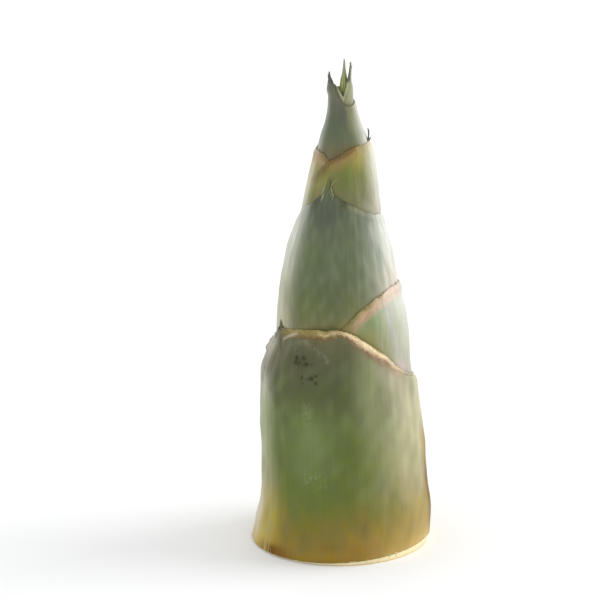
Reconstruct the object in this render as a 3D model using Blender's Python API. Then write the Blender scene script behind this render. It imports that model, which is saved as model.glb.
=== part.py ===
"""A bamboo shoot standing on its cut base.

A solid culm carries six wrapped sheaths and the rolled spear leaf at its tip. Each sheath is one thin
shell with its own small blade. It starts on a ledge of the culm and wraps everything inside it. The inner
ones stand higher, so each shows above the one outside it. The four outer sheaths are open: their side
margins cross in a seam. The two small ones at the tip are closed rings.

Metres, +Z up. The origin is the middle of the cut, on the surface that the shoot stands on. Angles are
degrees round +Z from the front (-Y), positive towards +X. Sizes are written in millimetres.
"""

from collections import namedtuple

import bpy
import numpy as np

MM = 0.001

# Driving dimensions.
HEIGHT = 217.0  # tip of the spear leaf above the cut
GAP = 0.35  # free space between neighbouring pieces
EDGE = 0.7  # thickness of a sheath at its free margins
FADE = 16.0  # width over which a margin thickens to the full sheath
DRAPE = 24.0  # height over which a sheath closes in above a margin that it covers
LAP = 30.0  # degrees by which the side margins of an open sheath cross
LIFT = 24.0  # degrees over which the margin on top rises to clear the one beneath

# Radius of the surface inside all six sheaths: (height, radius).
CORE = (
    (0, 28.4), (12, 27.6), (26, 26.15), (38, 25.4), (64, 24.3), (80, 23.0), (96, 21.4), (112, 20.0),
    (126, 18.1), (139, 15.2), (150, 13.1), (160, 11.6), (170, 10.1), (178, 9.1), (185, 7.2), (190, 5.0),
    (195, 3.2), (200, 2.2), (206, 1.5), (212, 0.9), (HEIGHT, 0.3),
)  # fmt: skip
# Sideways bend of the shoot's axis: (height, offset along +X), then along +Y.
BEND_X = (
    (0, 0.0), (8, 1.1), (20, 2.3), (34, 1.8), (50, 1.0), (64, -0.1), (76, -1.1), (95, -0.6), (114, -1.1),
    (135, -1.1), (158, -0.2), (178, 0.6), (200, -0.2), (HEIGHT, 0.0),
)  # fmt: skip
BEND_Y = ((0, 0.0), (50, 0.9), (130, -0.9), (HEIGHT, 0.3))
OVAL = 0.015  # the culm's section is this much wider along OVAL_AT than the mean
OVAL_AT = -70.0
# The two top sheaths stand off the spear leaf by up to MOUTH, and the spear leaf leans across towards +X.
MOUTH, MOUTH_FROM, MOUTH_TO = 2.0, 184.0, 206.0
LEAN, LEAN_FROM, LEAN_TO = 0.7, 190.0, 208.0

SPEAR_FOOT = 150.0
SPEAR_WALL = 1.3  # wall of the spear leaf over the growing tip
GROWING_TIP = 178.0  # top of the space inside the spear leaf

# One wrapped sheath. margin: angle and height of points along its free top margin, from one side margin
# round to the other, or once round for a closed ring. on_top: the end that crosses on top. thick: full
# thickness. foot: height of its ledge. blade: angle, width of its root, height and outward lean.
Sheath = namedtuple("Sheath", "name margin on_top thick foot blade")
SHEATHS = (
    Sheath(
        "sheath_1",
        ((-308, 68), (-285, 75), (-240, 74), (-180, 73), (-135, 77), (-112, 84), (-100, 88.5), (-88, 93.5),
         (-78, 97), (-66, 100), (-48, 102.2), (-12, 103.8), (3, 103.5), (25, 97), (42, 90), (56, 83.5),
         (68, 80), (82, 78)),
        "end", 2.2, 0.0, (-68, 5.0, 4.5, 0.4),
    ),
    Sheath(
        "sheath_2",
        ((-76, 64), (-60, 74), (-40, 83.5), (-20, 93.2), (-1, 103.1), (26, 114.4), (65, 118.5), (95, 118.8),
         (120, 118), (170, 114), (215, 103), (255, 86), (276, 78), (300, 74), (314, 68)),
        "start", 1.9, 18.0, (122, 8.0, 9.0, 0.5),
    ),
    Sheath(
        "sheath_3",
        ((-217, 126), (-202, 130), (-150, 137), (-100, 147), (-70, 153), (-49, 156.5), (-30, 160.5),
         (-20, 161), (8, 157.2), (45, 152), (80, 149), (115, 141), (143, 133), (158, 130), (173, 126)),
        "end", 1.75, 42.0, (-23, 5.4, 7.0, 0.2),
    ),
    Sheath(
        "sheath_4",
        ((-62, 168), (-46, 171.5), (-30, 174.5), (-12, 176.4), (4, 178.8), (23, 180.2), (45, 181),
         (150, 181.5), (230, 180.5), (270, 178.3), (300, 177.6), (316, 176.8), (330, 174.5), (348, 170)),
        "start", 1.75, 74.0, (82, 3.2, 5.2, 1.5),
    ),
    Sheath(
        "sheath_5",
        ((-85, 206), (-63, 206), (-46, 205.6), (-28, 203.6), (-6, 200.4), (8, 198.4), (26, 197.6),
         (80, 198.2), (130, 200), (200, 203), (240, 205), (275, 206)),
        None, 0.9, 106.0, (-85, 10.0, 5.6, 0.0),
    ),
    Sheath(
        "sheath_6",
        ((10, 200.6), (24, 202.6), (40, 205.2), (58, 207.6), (80, 207.8), (130, 205.5), (200, 204.5),
         (260, 205.5), (300, 206.3), (330, 205.3), (350, 203.2), (370, 200.6)),
        None, 0.75, 134.0, (66, 5.6, 8.0, 0.7),
    ),
)  # fmt: skip
# The lowest sheath's cut edge rises from the surface towards one side and shows the culm's flesh below it.
CUT_LOW, CUT_RISE, CUT_AT = 0.8, 3.2, 75.0
FLESH_INSET = 0.6  # how far the flesh below that edge stands back from the sheath's outer face

# Columns round, rows up, and how strongly the rows crowd towards the margin, outermost sheath first.
GRIDS = ((46, 14, 1.1), (46, 15, 1.1), (42, 15, 1.1), (40, 14, 1.15), (32, 15, 1.4), (28, 15, 1.4))
SPEAR_GRID = (20, 14)
CULM_COLUMNS = 40
CULM_STEP = 8.0
DOME_ROWS = (0.0, 0.3, 0.55, 0.75, 0.88, 0.95)  # shares of the height of the domed tip

MATERIALS = {
    "sheath_1": (0.15, 0.16, 0.045),
    "sheath_2": (0.20, 0.22, 0.11),
    "sheath_3": (0.105, 0.155, 0.062),
    "sheath_4": (0.22, 0.21, 0.055),
    "sheath_5": (0.10, 0.13, 0.085),
    "sheath_6": (0.20, 0.24, 0.10),
    "spear_leaf": (0.24, 0.34, 0.07),
    "culm": (0.78, 0.69, 0.42),
}


def smoothstep(x):
    x = np.clip(x, 0.0, 1.0)
    return x * x * (3.0 - 2.0 * x)


def along(points, x):
    """A smooth curve through the points: cubic pieces whose slopes are those of their neighbours."""
    at, value = np.array(points, float).T
    slope = np.gradient(value, at)
    x = np.clip(x, at[0], at[-1])
    i = np.clip(np.searchsorted(at, x, side="right") - 1, 0, len(at) - 2)
    span = at[i + 1] - at[i]
    s = (x - at[i]) / span
    rise = value[i + 1] - value[i]
    start, end = slope[i] * span, slope[i + 1] * span
    return value[i] + s * start + s**2 * (3 * rise - 2 * start - end) + s**3 * (start + end - 2 * rise)


def unwrapped(sheath, angle):
    """The same direction, as an angle between the middle of the sheath's seam and one turn further."""
    seam = sheath.margin[0][0] + (0.5 * LAP if sheath.on_top else 0.0)
    return seam + (angle - seam) % 360.0


def core(angle, z):
    """Radius of the surface inside all the sheaths, slightly oval low down."""
    oval = OVAL * smoothstep((150.0 - z) / 80.0)
    return along(CORE, z) * (1.0 + oval * np.cos(2.0 * np.radians(angle - OVAL_AT)))


def wrapped(angle, z):
    """The core's radius, plus the room that the two top sheaths leave round the spear leaf."""
    return core(angle, z) + MOUTH * smoothstep((z - MOUTH_FROM) / (MOUTH_TO - MOUTH_FROM))


def layer(index, angle, z):
    """Radius round everything that sheath number index and the ones inside it take up. A sheath inside
    it adds its thickness and gap up to its margin, and less and less above that."""
    radius = wrapped(angle, z) + SHEATHS[index].thick + GAP
    for sheath in SHEATHS[index + 1 :]:
        height = along(sheath.margin, unwrapped(sheath, angle))
        radius = radius + (sheath.thick + GAP) * smoothstep((height + DRAPE - z) / DRAPE)
    return radius


def inside(index, angle, z):
    """Radius of the inner face of sheath number index: a gap outside all that it wraps."""
    if index + 1 == len(SHEATHS):
        return wrapped(angle, z) + GAP
    thick = SHEATHS[index].thick
    return layer(index, angle, z) - thick


def foot_height(index, angle):
    """Height of a sheath's lower edge. Only the lowest sheath's is cut at a slant."""
    if index > 0:
        return SHEATHS[index].foot + 0.0 * angle
    return CUT_LOW + CUT_RISE * (0.5 + 0.5 * np.cos(np.radians(angle - CUT_AT))) ** 2.5


def place(angle, z, radius, lean=0.0):
    """Points in metres at an angle, height and radius round the bent axis."""
    a = np.radians(angle)
    x = along(BEND_X, z) + lean + radius * np.sin(a)
    y = along(BEND_Y, z) - radius * np.cos(a)
    return np.stack([x, y, z + 0.0 * x], axis=-1) * MM


def columns_round(sheath, count):
    """Angles of a grid's columns, crowded at the blade, with one on its tip."""
    first, last = sheath.margin[0][0], sheath.margin[-1][0]
    even = np.linspace(first, last, 721)
    share = np.cumsum(1.0 + 5.0 * np.exp(-(((even - sheath.blade[0]) / 9.0) ** 2)))
    share = (share - share[0]) / (share[-1] - share[0])
    angles = np.interp(np.linspace(0.0, 1.0, count if sheath.on_top else count + 1), share, even)
    if sheath.blade[0] > first:
        angles[np.abs(angles - sheath.blade[0]).argmin()] = sheath.blade[0]
    return angles if sheath.on_top else angles[:-1]


def blade_rise(index, angle):
    """Extra height of the margin at the blade: a triangle with slightly hollow sides."""
    at, width, height, _ = SHEATHS[index].blade
    radius = inside(index, np.array(at), along(SHEATHS[index].margin, np.array(at)))
    half = np.degrees(0.5 * width / radius)
    off = np.abs((angle - at + 180.0) % 360.0 - 180.0)
    return height * np.clip(1.0 - off / half, 0.0, 1.0) ** 1.15


def sheath_faces(index, angles, rows, crowd):
    """Outer and inner face of one sheath as grids of points, bottom row first.

    A point's height runs from the foot to the margin, and the last fifth of the way also climbs the blade.
    The outer face adds the thickness, which thins to the edge thickness at the top margin and wherever the
    side margins cross. The margin that crosses on top also lifts by one edge and gap.
    """
    sheath = SHEATHS[index]
    angle, step = np.meshgrid(angles, np.linspace(0.0, 1.0, rows))
    share = 1.0 - (1.0 - step) ** crowd
    foot, edge = foot_height(index, angle), along(sheath.margin, angle)
    z = foot + share * (edge - foot) + blade_rise(index, angle) * smoothstep((share - 0.8) / 0.2)
    thin = smoothstep((edge - z) / FADE)
    lift = 0.0
    if sheath.on_top:
        ends = (sheath.margin[0][0], sheath.margin[-1][0])
        top, beneath = ends if sheath.on_top == "start" else ends[::-1]
        lift = smoothstep((LAP + LIFT - np.abs(angle - top)) / LIFT)
        thin = thin * (1.0 - lift) * smoothstep((np.abs(angle - beneath) - LAP) / LIFT)
    lean = sheath.blade[3] * smoothstep((z - edge) / sheath.blade[2])
    inner = inside(index, angle, z) + lift * (EDGE + GAP) + lean
    outer = inner + EDGE + (sheath.thick - EDGE) * thin
    return place(angle, z, outer), place(angle, z, inner)


def quads(lower, upper, ring):
    """Quads between two rows of equal length, closed into a ring if asked."""
    count = len(lower)
    last = count if ring else count - 1
    return [(lower[i], lower[(i + 1) % count], upper[(i + 1) % count], upper[i]) for i in range(last)]


def stacked(rows, ring):
    """Quads between all neighbouring rows."""
    return [face for low, high in zip(rows[:-1], rows[1:]) for face in quads(low, high, ring)]


def flipped(faces):
    return [face[::-1] for face in faces]


def numbered(grid, start=0):
    """Vertex numbers of a grid of points, row by row."""
    rows, columns = grid.shape[:2]
    return [list(range(start + r * columns, start + (r + 1) * columns)) for r in range(rows)]


def fan(row, pole):
    """Triangles from a ring up to a pole."""
    return [(row[i], row[(i + 1) % len(row)], pole) for i in range(len(row))]


def mesh_object(name, points, faces):
    """A smooth-shaded object of these faces as triangles, with the piece's own material."""
    triangles = [(f[0], f[i], f[i + 1]) for f in faces for i in range(1, len(f) - 1)]
    mesh = bpy.data.meshes.new(name)
    mesh.from_pydata([tuple(p) for p in points], [], triangles)
    mesh.shade_smooth()
    mesh.set_sharp_from_angle(angle=np.radians(50.0))
    mesh.materials.append(plant_material(name, MATERIALS[name]))
    made = bpy.data.objects.new(name, mesh)
    bpy.context.scene.collection.objects.link(made)
    return made


def plant_material(name, colour):
    """A waxy plant surface of one colour."""
    material = bpy.data.materials.new(name)
    material.use_nodes = True
    shader = material.node_tree.nodes["Principled BSDF"]
    shader.inputs["Base Color"].default_value = (*colour, 1.0)
    shader.inputs["Roughness"].default_value = 0.5
    shader.inputs["Metallic"].default_value = 0.0
    return material


def make_sheath(index):
    """The two faces of a sheath, joined along its foot, its margin and, if it is open, its sides."""
    sheath = SHEATHS[index]
    columns, rows, crowd = GRIDS[index]
    outer, inner = sheath_faces(index, columns_round(sheath, columns), rows, crowd)
    ring = sheath.on_top is None
    out, back = numbered(outer), numbered(inner, outer.shape[0] * outer.shape[1])
    faces = stacked(out, ring) + flipped(stacked(back, ring))
    faces += flipped(quads(out[0], back[0], ring)) + quads(out[-1], back[-1], ring)
    if not ring:
        faces += quads([row[0] for row in out], [row[0] for row in back], False)
        faces += flipped(quads([row[-1] for row in out], [row[-1] for row in back], False))
    points = np.concatenate([outer.reshape(-1, 3), inner.reshape(-1, 3)])
    return mesh_object(sheath.name, points, faces)


def tip_space(z):
    """Radius of the space inside the spear leaf, which closes as a dome at the growing tip."""
    share = np.clip((z - SPEAR_FOOT) / (GROWING_TIP - SPEAR_FOOT), 0.0, 1.0)
    return (along(CORE, z) - SPEAR_WALL) * np.sqrt(1.0 - share**3)


def spear_lean(z):
    return LEAN * smoothstep((z - LEAN_FROM) / (LEAN_TO - LEAN_FROM))


def make_spear_leaf():
    """The innermost leaf, still rolled to a solid point, open below over the growing tip."""
    columns, rows = SPEAR_GRID
    turns = np.arange(columns) * 360.0 / columns
    heights = SPEAR_FOOT + (HEIGHT - SPEAR_FOOT) * np.linspace(0.0, 0.985, rows)
    angle, z = np.meshgrid(turns, heights)
    outer = place(angle, z, core(angle, z), spear_lean(z))
    angle, z = np.meshgrid(turns, SPEAR_FOOT + (GROWING_TIP - SPEAR_FOOT) * np.array(DOME_ROWS))
    inner = place(angle, z, tip_space(z))
    out, back = numbered(outer), numbered(inner, rows * columns)
    poles = place(np.zeros(2), np.array([HEIGHT, GROWING_TIP]), 0.0, np.array([LEAN, 0.0]))
    points = np.concatenate([outer.reshape(-1, 3), inner.reshape(-1, 3), poles])
    faces = stacked(out, True) + flipped(stacked(back, True)) + flipped(quads(out[0], back[0], True))
    faces += fan(out[-1], len(points) - 2) + flipped(fan(back[-1], len(points) - 1))
    return mesh_object("spear_leaf", points, faces)


def make_culm():
    """The stem: a cone with a ledge below the foot of each sheath, a flat cut end and a domed tip."""
    turns = np.arange(CULM_COLUMNS) * 360.0 / CULM_COLUMNS
    level = 0.0 * turns
    flesh = layer(0, turns, level) - FLESH_INSET
    ledge = foot_height(0, turns) - GAP
    rows = [place(turns, level, flesh - 0.6), place(turns, 0.5 * ledge, flesh), place(turns, ledge, flesh)]
    below = ledge
    for index, sheath in enumerate(SHEATHS):
        top = SHEATHS[index + 1].foot if index + 1 < len(SHEATHS) else SPEAR_FOOT
        steps = int(np.ceil((top - sheath.foot) / CULM_STEP))
        for share in np.linspace(0.0, 1.0, steps + 1):
            z = below + share * (top - GAP - below)
            rows.append(place(turns, z, inside(index, turns, z) - GAP))
        below = z
    for share in DOME_ROWS:
        z = SPEAR_FOOT + share * (GROWING_TIP - SPEAR_FOOT) + level
        rows.append(place(turns, z - GAP, tip_space(z) - 1.3 * GAP))
    poles = place(np.zeros(2), np.array([0.0, GROWING_TIP - 2.0 * GAP]), 0.0)
    points = np.concatenate([*rows, poles])
    rings = numbered(np.array(rows))
    faces = stacked(rings, True) + flipped(fan(rings[0], len(points) - 2)) + fan(rings[-1], len(points) - 1)
    return mesh_object("culm", points, faces)


def main():
    for old in list(bpy.data.objects):
        bpy.data.objects.remove(old)
    make_culm()
    for index in range(len(SHEATHS)):
        make_sheath(index)
    make_spear_leaf()


main()
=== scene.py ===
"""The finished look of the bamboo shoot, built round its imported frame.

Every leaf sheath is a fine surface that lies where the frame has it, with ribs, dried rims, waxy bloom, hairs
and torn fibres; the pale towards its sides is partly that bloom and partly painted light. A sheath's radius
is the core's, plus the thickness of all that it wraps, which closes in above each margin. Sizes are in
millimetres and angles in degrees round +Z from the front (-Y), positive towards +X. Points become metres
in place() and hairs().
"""

from collections import namedtuple

import bpy  # noqa: E402
import numpy as np  # noqa: E402
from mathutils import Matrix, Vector  # noqa: E402


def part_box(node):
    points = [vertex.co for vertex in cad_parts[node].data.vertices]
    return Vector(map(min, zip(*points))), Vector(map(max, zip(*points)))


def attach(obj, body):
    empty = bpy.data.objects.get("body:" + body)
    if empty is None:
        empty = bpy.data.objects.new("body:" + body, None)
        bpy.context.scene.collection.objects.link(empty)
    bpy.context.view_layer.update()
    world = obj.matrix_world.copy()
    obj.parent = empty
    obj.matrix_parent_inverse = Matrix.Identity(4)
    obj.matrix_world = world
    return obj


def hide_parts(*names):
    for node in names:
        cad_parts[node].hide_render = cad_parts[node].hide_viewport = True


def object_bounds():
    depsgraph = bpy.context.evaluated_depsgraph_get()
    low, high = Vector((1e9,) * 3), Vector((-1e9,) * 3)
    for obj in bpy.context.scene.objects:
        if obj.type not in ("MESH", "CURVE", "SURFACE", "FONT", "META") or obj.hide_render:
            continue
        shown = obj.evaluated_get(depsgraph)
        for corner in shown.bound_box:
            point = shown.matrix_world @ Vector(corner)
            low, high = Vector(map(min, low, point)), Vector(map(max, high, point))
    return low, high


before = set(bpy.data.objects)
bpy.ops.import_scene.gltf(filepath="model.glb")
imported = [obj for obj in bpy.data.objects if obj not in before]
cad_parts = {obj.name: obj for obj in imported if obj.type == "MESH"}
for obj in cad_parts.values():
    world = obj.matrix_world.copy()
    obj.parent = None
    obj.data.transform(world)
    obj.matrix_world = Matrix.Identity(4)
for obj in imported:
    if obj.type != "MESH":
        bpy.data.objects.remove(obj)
FRAME_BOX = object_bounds()

MM = 0.001

# -------- Shape of the shoot, as in the frame --------

HEIGHT = FRAME_BOX[1].z / MM
GAP = 0.35  # free space between neighbouring sheaths
EDGE = 0.7  # thickness of the frame's sheaths at their free margins
FADE = 16.0  # depth below a margin over which it thickens to the full sheath
DRAPE = 24.0  # height over which a sheath closes in above a margin that it covers
LAP = 30.0  # degrees by which the side margins of an open sheath cross
LIFT = 24.0  # degrees over which the margin on top rises to clear the one beneath

# Radius of the surface inside all six sheaths, then how far its axis bends off upright: (height, value).
CORE = (
    (0, 28.4), (12, 27.6), (26, 26.15), (38, 25.4), (64, 24.3), (80, 23.0), (96, 21.4), (112, 20.0),
    (126, 18.1), (139, 15.2), (150, 13.1), (160, 11.6), (170, 10.1), (178, 9.1), (185, 7.2), (190, 5.0),
    (195, 3.2), (200, 2.2), (206, 1.5), (212, 0.9), (HEIGHT, 0.3),
)
BEND_X = (
    (0, 0.0), (8, 1.1), (20, 2.3), (34, 1.8), (50, 1.0), (64, -0.1), (76, -1.1), (95, -0.6), (114, -1.1),
    (135, -1.1), (158, -0.2), (178, 0.6), (200, -0.2), (HEIGHT, 0.0),
)
BEND_Y = ((0, 0.0), (50, 0.9), (130, -0.9), (HEIGHT, 0.3))
OVAL, OVAL_AT = 0.015, -70.0  # how oval the lower half is, and the direction of its long way
MOUTH, MOUTH_FROM, MOUTH_TO = 2.0, 184.0, 206.0  # room round the spear leaf, and the heights it opens over
LEAN, LEAN_FROM, LEAN_TO = 0.7, 190.0, 208.0  # the spear leaf's lean to the right
CUT_LOW, CUT_RISE, CUT_AT = 0.8, 3.2, 75.0  # the lowest sheath's foot: its height, and its rise to one side
FLESH_INSET = 0.6  # from the face of the lowest sheath's space in to the cut flesh
SPEAR_WALL = 1.3  # thickness of the spear leaf

# A margin is (angle, height) from one side of the sheath to the other. on_top says which of the two sides
# lies over the other; a sheath with None is closed all round.
Sheath = namedtuple("Sheath", "name margin on_top thick blade")
Blade = namedtuple("Blade", "at width height lean")
SHEATHS = (
    Sheath(
        "sheath_1",
        ((-308, 68), (-285, 75), (-240, 74), (-180, 73), (-135, 77), (-112, 84), (-100, 88.5), (-88, 93.5),
         (-78, 97), (-66, 100), (-48, 102.2), (-12, 103.8), (3, 103.5), (25, 97), (42, 90), (56, 83.5),
         (68, 80), (82, 78)),
        "end", 2.2, Blade(-68, 5.0, 4.5, 0.4),
    ),
    Sheath(
        "sheath_2",
        ((-76, 64), (-60, 74), (-40, 83.5), (-20, 93.2), (-1, 103.1), (24, 113.6), (40, 117.2), (53, 118.9),
         (65, 119.8), (80, 119.6), (95, 118.8), (120, 118), (170, 114), (215, 103), (255, 86), (276, 78),
         (300, 74), (314, 68)),
        "start", 1.9, Blade(122, 8.0, 9.0, 0.5),
    ),
    Sheath(
        "sheath_3",
        ((-217, 126), (-202, 130), (-150, 137), (-100, 147), (-70, 153), (-49, 156.5), (-30, 160.5),
         (-20, 161), (8, 157.2), (45, 152), (80, 149), (115, 141), (143, 133), (158, 130), (173, 126)),
        "end", 1.75, Blade(-23, 5.4, 7.0, 0.2),
    ),
    Sheath(
        "sheath_4",
        ((-62, 168), (-46, 171.5), (-30, 174.5), (-12, 176.4), (4, 178.8), (23, 180.2), (45, 181),
         (150, 181.5), (230, 180.5), (270, 178.3), (300, 177.6), (316, 176.8), (330, 174.5), (348, 170)),
        "start", 1.75, Blade(82, 3.2, 5.2, 1.5),
    ),
    Sheath(
        "sheath_5",
        ((-85, 206), (-63, 206), (-46, 205.6), (-28, 203.6), (-6, 200.4), (8, 198.4), (26, 197.6),
         (80, 198.2), (130, 200), (200, 203), (240, 205), (275, 206)),
        None, 0.9, Blade(-85, 10.0, 5.6, 0.0),
    ),
    Sheath(
        "sheath_6",
        ((10, 200.6), (24, 202.6), (40, 205.2), (58, 207.6), (80, 207.8), (130, 205.5), (200, 204.5),
         (260, 205.5), (300, 206.3), (330, 205.3), (350, 203.2), (370, 200.6)),
        None, 0.75, Blade(64, 7.2, 8.0, 0.7),
    ),
)
FEET = [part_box(sheath.name)[0].z / MM for sheath in SHEATHS]
SPEAR_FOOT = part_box("spear_leaf")[0].z / MM
GROWING_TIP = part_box("culm")[1].z / MM + 2.0 * GAP


def smoothstep(x):
    """An even step from 0 at 0 to 1 at 1, level at both ends: three x squared less two x cubed."""
    x = np.clip(x, 0.0, 1.0)
    return x * x * (3.0 - 2.0 * x)


def below(x, end, soft):
    """1 where x is low, stepping down to 0 over the last soft before end."""
    return smoothstep((end - x) / soft)


def beyond(x, start, soft):
    """0 up to start, stepping up to 1 over soft."""
    return smoothstep((x - start) / soft)


def near(x, middle, spread):
    """A bell curve round the middle: e to the power of minus the square of the distance over the spread."""
    return np.exp(-(((x - middle) / spread) ** 2))


def turned(angle, middle):
    """How far an angle lies from a direction, from -180 to 180 degrees."""
    return (angle - middle + 180.0) % 360.0 - 180.0


def along(points, x):
    """A smooth curve through the points: cubic pieces whose slopes are those of their neighbours."""
    at, value = np.array(points, float).T
    slope = np.gradient(value, at)
    x = np.clip(x, at[0], at[-1])
    i = np.clip(np.searchsorted(at, x, side="right") - 1, 0, len(at) - 2)
    span = at[i + 1] - at[i]
    s = (x - at[i]) / span
    rise = value[i + 1] - value[i]
    start, end = slope[i] * span, slope[i + 1] * span
    return value[i] + s * start + s**2 * (3 * rise - 2 * start - end) + s**3 * (start + end - 2 * rise)


def ripple(seed, u, v, size_u, size_v, count=16):
    """Smooth noise of about unit height: a sum of sine waves in seeded directions, whose lengths lie near
    size_u along u and size_v along v."""
    random = np.random.default_rng(seed)
    total = 0.0
    for _ in range(count):
        across, lengthwise = random.normal(0.0, 1.0, 2)
        phase = random.uniform(0.0, 2.0 * np.pi)
        total = total + np.sin(2.0 * np.pi * (across * u / size_u + lengthwise * v / size_v) + phase)
    return total / np.sqrt(0.5 * count)


def unwrapped(sheath, angle):
    """The same direction, as an angle between the middle of the sheath's seam and one turn further."""
    seam = sheath.margin[0][0] + (0.5 * LAP if sheath.on_top else 0.0)
    return seam + (angle - seam) % 360.0


def core(angle, z):
    """Radius of the surface inside all the sheaths, slightly oval low down and round from 150 up."""
    oval = OVAL * below(z, 150.0, 80.0)
    return along(CORE, z) * (1.0 + oval * np.cos(2.0 * np.radians(angle - OVAL_AT)))


def wrapped(angle, z):
    """The core's radius, plus the room that the two top sheaths leave round the spear leaf."""
    return core(angle, z) + MOUTH * smoothstep((z - MOUTH_FROM) / (MOUTH_TO - MOUTH_FROM))


def layer(index, angle, z):
    """Radius round everything that sheath number index and the ones inside it take up."""
    radius = wrapped(angle, z) + SHEATHS[index].thick + GAP
    for sheath in SHEATHS[index + 1 :]:
        height = along(sheath.margin, unwrapped(sheath, angle))
        radius = radius + (sheath.thick + GAP) * smoothstep((height + DRAPE - z) / DRAPE)
    return radius


def inside(index, angle, z):
    """Radius of the inner face of sheath number index: a gap outside all that it wraps."""
    if index + 1 == len(SHEATHS):
        return wrapped(angle, z) + GAP
    return layer(index, angle, z) - SHEATHS[index].thick


def foot_height(index, angle):
    """Height of a sheath's lower edge. Only the lowest sheath's is cut at a slant, a power of the cosine."""
    if index > 0:
        return FEET[index] + 0.0 * angle
    return CUT_LOW + CUT_RISE * (0.5 + 0.5 * np.cos(np.radians(angle - CUT_AT))) ** 2.5


def place(angle, z, radius, lean=0.0):
    """Points in metres at an angle, height and radius round the bent axis."""
    a = np.radians(angle)
    x = along(BEND_X, z) + lean + radius * np.sin(a)
    y = along(BEND_Y, z) - radius * np.cos(a)
    return np.stack([x, y, z + 0.0 * x], axis=-1) * MM


# -------- Meshes --------


def numbered(rows, columns, start=0):
    """A table of vertex numbers, row by row."""
    return np.arange(rows * columns).reshape(rows, columns) + start


def quads(rows, ring=False):
    """Quads between neighbours in a table of vertex numbers, whose rows are closed into rings if asked."""
    if ring:
        rows = np.concatenate([rows, rows[:, :1]], axis=1)
    a, b, c, d = rows[:-1, :-1], rows[:-1, 1:], rows[1:, 1:], rows[1:, :-1]
    return np.stack([a, b, c, d], axis=-1).reshape(-1, 4)


def mesh_piece(name, points, faces, finish, marks=None, crease=None):
    """A mesh object with its finish, riding on the shoot. faces are blocks of triangles or quads, marks are
    named vectors stored on the points, and edges that turn by more than crease degrees stay sharp."""
    mesh = bpy.data.meshes.new(name)
    points = np.asarray(points, np.float32).reshape(-1, 3)
    corners = np.concatenate([block.ravel() for block in faces]).astype(np.int32)
    sizes = np.concatenate([np.full(len(block), block.shape[1]) for block in faces]).astype(np.int32)
    mesh.vertices.add(len(points))
    mesh.vertices.foreach_set("co", points.ravel())
    mesh.loops.add(len(corners))
    mesh.loops.foreach_set("vertex_index", corners)
    mesh.polygons.add(len(sizes))
    mesh.polygons.foreach_set("loop_start", np.concatenate([[0], np.cumsum(sizes)[:-1]]).astype(np.int32))
    mesh.polygons.foreach_set("loop_total", sizes)
    mesh.update(calc_edges=True)
    mesh.validate()
    for label, values in (marks or {}).items():
        stored = mesh.attributes.new(label, "FLOAT_VECTOR", "POINT")
        stored.data.foreach_set("vector", np.asarray(values, np.float32).reshape(-1, 3).ravel())
    mesh.shade_smooth()
    if crease:
        mesh.set_sharp_from_angle(angle=np.radians(crease))
    mesh.materials.append(finish)
    piece = bpy.data.objects.new(name, mesh)
    bpy.context.scene.collection.objects.link(piece)
    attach(piece, "root")
    return piece


# -------- Finishes --------


def tint(code):
    """A colour written as six hex digits of sRGB, as linear red, green, blue and 1."""
    parts = [int(code[i : i + 2], 16) / 255.0 for i in (0, 2, 4)]
    return (*[c / 12.92 if c <= 0.04045 else ((c + 0.055) / 1.055) ** 2.4 for c in parts], 1.0)


def node(tree, kind, inputs=None, **settings):
    """A shader node. inputs maps a socket's name or number to a value or to the socket that feeds it."""
    made = tree.nodes.new("ShaderNode" + kind)
    for key, value in settings.items():
        setattr(made, key, value)
    for key, value in (inputs or {}).items():
        socket = made.inputs[key]
        if isinstance(value, bpy.types.NodeSocket):
            tree.links.new(value, socket)
        else:
            socket.default_value = value
    return made


def new_finish(name, roughness, specular, sheen=0.0):
    """A material with a Principled surface whose constant values are set on the shader itself."""
    material = bpy.data.materials.new(name)
    material.use_nodes = True
    tree = material.node_tree
    surface = tree.nodes["Principled BSDF"]
    surface.inputs["Roughness"].default_value = roughness
    surface.inputs["Sheen Weight"].default_value = sheen
    surface.inputs["Sheen Roughness"].default_value = 0.35
    surface.inputs["Sheen Tint"].default_value = tint("ffffff")
    surface.inputs["Specular IOR Level"].default_value = specular
    return material, tree, surface


def mark(tree, name):
    """A vector stored on the points, and its three numbers."""
    vector = node(tree, "Attribute", attribute_name=name).outputs["Vector"]
    return vector, node(tree, "SeparateXYZ", {"Vector": vector}).outputs


def painted(tree):
    """The colour stored on the points."""
    return node(tree, "Attribute", attribute_name="paint").outputs["Color"]


def noise(tree, vector, stretch, detail=3.0, roughness=0.55):
    """Noise on a vector that is first multiplied by stretch: waves per unit of the vector, in x, y and z."""
    scaled = node(tree, "Mapping", {"Vector": vector, "Scale": stretch}).outputs[0]
    made = node(tree, "TexNoise", {"Vector": scaled, "Scale": 1.0, "Detail": detail, "Roughness": roughness})
    return made.outputs[0]


def remap(tree, value, low, high, to_low=0.0, to_high=1.0, smooth=False):
    """A value carried from low..high to to_low..to_high, straight or as an even step, held at the ends."""
    kind = "SMOOTHSTEP" if smooth else "LINEAR"
    ends = {"Value": value, "From Min": low, "From Max": high, "To Min": to_low, "To Max": to_high}
    return node(tree, "MapRange", ends, interpolation_type=kind).outputs[0]


def maths(tree, operation, *values):
    """The result of a Math node on values or sockets."""
    return node(tree, "Math", dict(enumerate(values)), operation=operation).outputs[0]


def blend(tree, share, a, b):
    """Colour a, going over to colour b by share."""
    return node(tree, "Mix", {0: share, 6: a, 7: b}, data_type="RGBA").outputs[2]


def shaded(tree, surface, colour, value):
    """Gives the surface its colour, made lighter or darker by value."""
    made = node(tree, "HueSaturation", {"Color": colour, "Value": value})
    tree.links.new(made.outputs[0], surface.inputs["Base Color"])


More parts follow.
